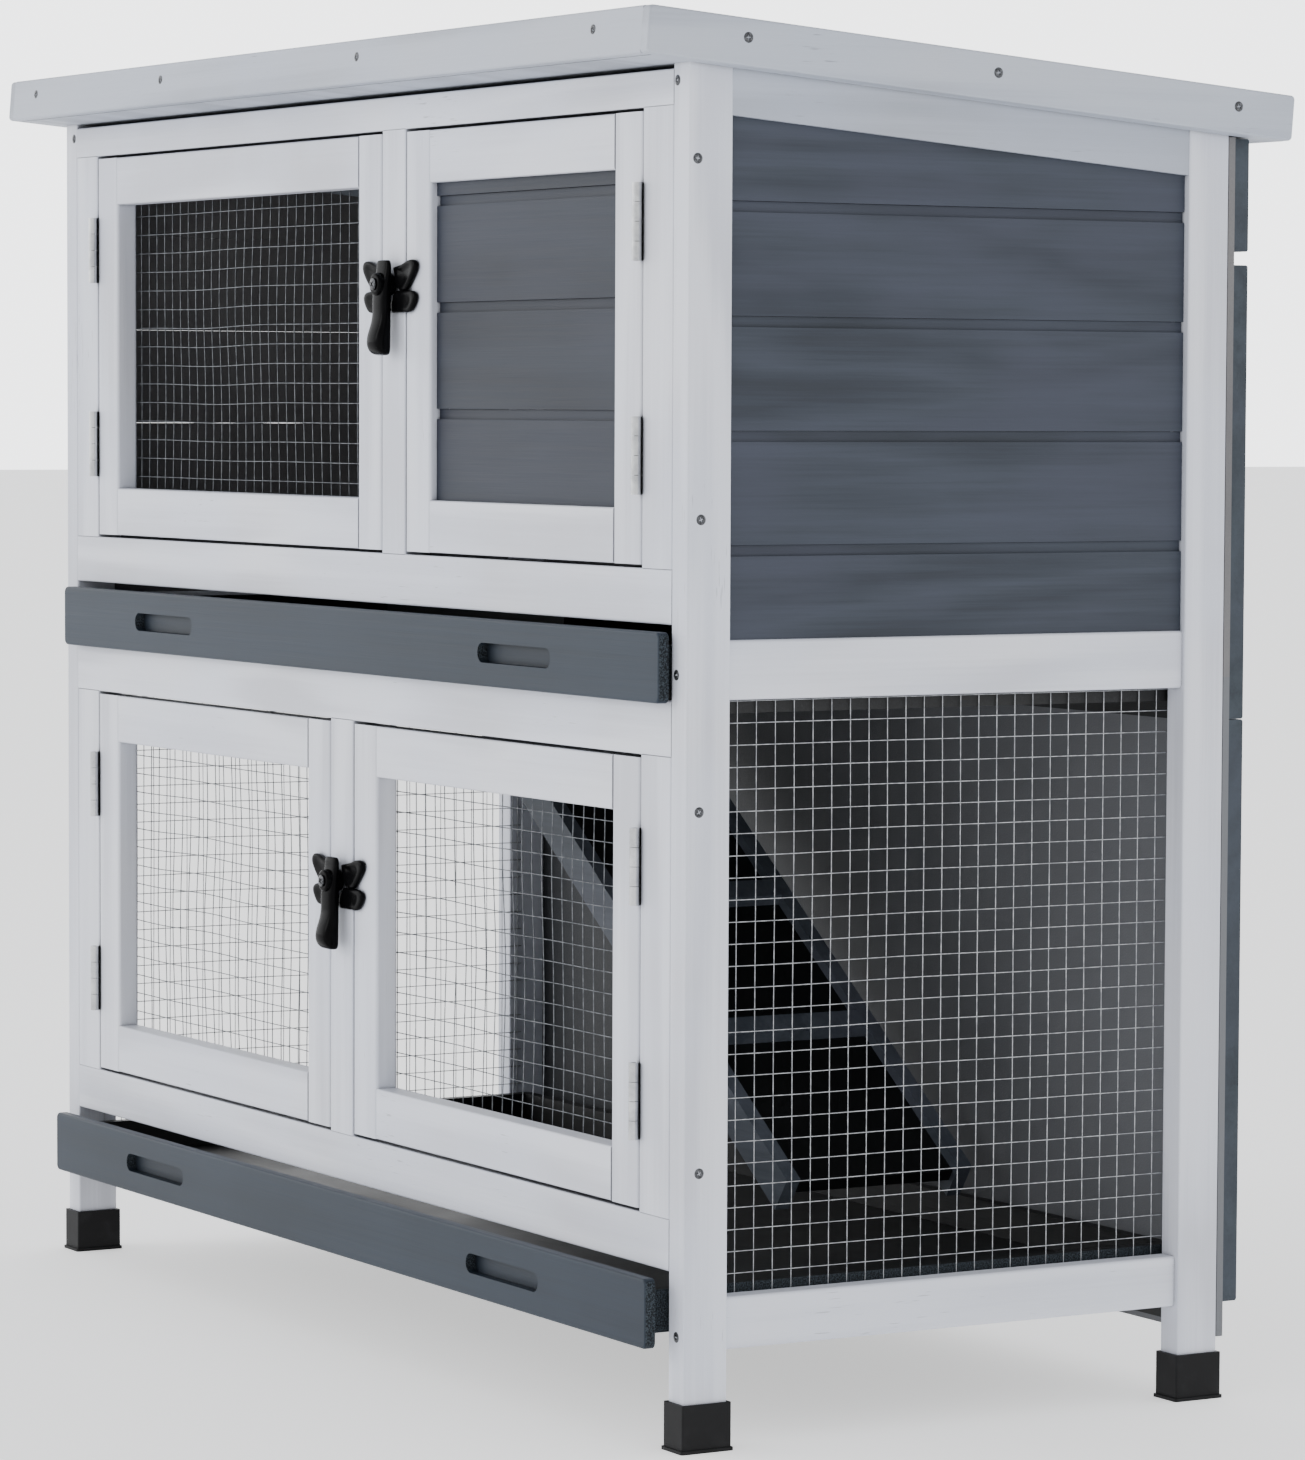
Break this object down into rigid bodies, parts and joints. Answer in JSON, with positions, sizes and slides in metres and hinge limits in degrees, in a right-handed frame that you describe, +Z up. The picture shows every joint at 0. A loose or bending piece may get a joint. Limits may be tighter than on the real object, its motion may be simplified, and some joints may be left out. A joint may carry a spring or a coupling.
{
  "type": "rabbit hutch",
  "caption": "Two-storey timber rabbit hutch with sloping roof, mesh and boarded doors, ramp, turning latches and pull-out trays.",
  "frame": {"origin": "on the floor, under the middle of the roof", "axes": "+X to the right along the front, +Y from the front to the back, +Z up"},
  "size_m": [0.8976, 0.4454, 0.8192],
  "materials": {
    "white_paint": "satin white paint over planed pine",
    "grey_boards": "satin blue-grey paint on tongued boards",
    "tray_grey": "smooth blue-grey paint with sanded ends",
    "dark_board": "dark faced board, slightly rough",
    "inner_grey": "thin grey wash",
    "roof_board": "bare board under the felt",
    "roof_felt": "mineral-faced roofing felt",
    "wire_mesh": "galvanised welded wire",
    "hinge_steel": "bright plated steel",
    "screw_steel": "zinc plated cross-head",
    "black_plastic": "glossy moulded plastic",
    "cap_plastic": "satin moulded plastic"
  },
  "bodies": {
    "hutch": {"back_lower_board": "grey_boards", "back_sheet": "grey_boards", "back_upper_boards": "grey_boards", "bottom_side_rails": "white_paint", "fascia_back": "white_paint", "fascia_front": "white_paint", "fascia_sides": "white_paint", "foot_caps": "cap_plastic", "frame_screws": "screw_steel", "hinge_frame_leaves": "hinge_steel", "hinge_pins": "hinge_steel", "latch_screws": "screw_steel", "left_mesh": "wire_mesh", "left_siding": "grey_boards", "lower_front_bottom_rail": "white_paint", "lower_front_mullion": "white_paint", "lower_front_stiles": "white_paint", "lower_front_top_rail": "white_paint", "mid_side_rails": "white_paint", "post_front_left": "white_paint", "post_front_right": "white_paint", "post_rear_left": "white_paint", "post_rear_right": "white_paint", "ramp_tread": "dark_board", "ramp_trim": "inner_grey", "rear_rails": "inner_grey", "right_mesh": "wire_mesh", "right_siding": "grey_boards", "roof_battens": "white_paint", "roof_board": "roof_board", "roof_felt": "roof_felt", "top_side_rails": "white_paint", "tray_runners": "inner_grey", "upper_floor": "dark_board", "upper_front_bottom_rail": "white_paint", "upper_front_mullion": "white_paint", "upper_front_stiles": "white_paint", "upper_front_top_rail": "white_paint"},
    "door_ul": {"door_ul_frame": "white_paint", "door_ul_mesh": "wire_mesh", "hinge_door_leaves_ul": "hinge_steel", "catch_wing_ul": "black_plastic"},
    "door_ur": {"door_ur_frame": "white_paint", "door_ur_panel": "grey_boards", "hinge_door_leaves_ur": "hinge_steel", "catch_wing_ur": "black_plastic"},
    "door_ll": {"door_ll_frame": "white_paint", "door_ll_mesh": "wire_mesh", "hinge_door_leaves_ll": "hinge_steel", "catch_wing_ll": "black_plastic"},
    "door_lr": {"door_lr_frame": "white_paint", "door_lr_mesh": "wire_mesh", "hinge_door_leaves_lr": "hinge_steel", "catch_wing_lr": "black_plastic"},
    "latch_upper": {"latch_lever_upper": "black_plastic"},
    "latch_lower": {"latch_lever_lower": "black_plastic"},
    "upper_tray": {"upper_tray_front": "tray_grey", "upper_tray_box": "dark_board"},
    "lower_tray": {"lower_tray_front": "tray_grey", "lower_tray_box": "dark_board"}
  },
  "joints": [
    {"name": "door_ul_hinge", "type": "hinge", "parent": "hutch", "child": "door_ul", "pos_m": [-0.3794, -0.1894, 0.635], "axis": [0, 0, -1], "range_deg": [0, 110]},
    {"name": "door_ur_hinge", "type": "hinge", "parent": "hutch", "child": "door_ur", "pos_m": [0.3794, -0.1894, 0.635], "axis": [0, 0, 1], "range_deg": [0, 110]},
    {"name": "door_ll_hinge", "type": "hinge", "parent": "hutch", "child": "door_ll", "pos_m": [-0.3794, -0.1894, 0.265], "axis": [0, 0, -1], "range_deg": [0, 110]},
    {"name": "door_lr_hinge", "type": "hinge", "parent": "hutch", "child": "door_lr", "pos_m": [0.3794, -0.1894, 0.265], "axis": [0, 0, 1], "range_deg": [0, 110]},
    {"name": "latch_upper_turn", "type": "hinge", "parent": "hutch", "child": "latch_upper", "pos_m": [0.0685, -0.19, 0.6708], "axis": [0, 1, 0], "range_deg": [0, 90]},
    {"name": "latch_lower_turn", "type": "hinge", "parent": "hutch", "child": "latch_lower", "pos_m": [-0.00305, -0.19, 0.2948], "axis": [0, 1, 0], "range_deg": [0, 90]},
    {"name": "upper_tray_slide", "type": "slide", "parent": "hutch", "child": "upper_tray", "axis": [0, -1, 0], "range_m": [-0.003, 0.33]},
    {"name": "lower_tray_slide", "type": "slide", "parent": "hutch", "child": "lower_tray", "axis": [0, -1, 0], "range_m": [-0.01, 0.33]}
  ]
}
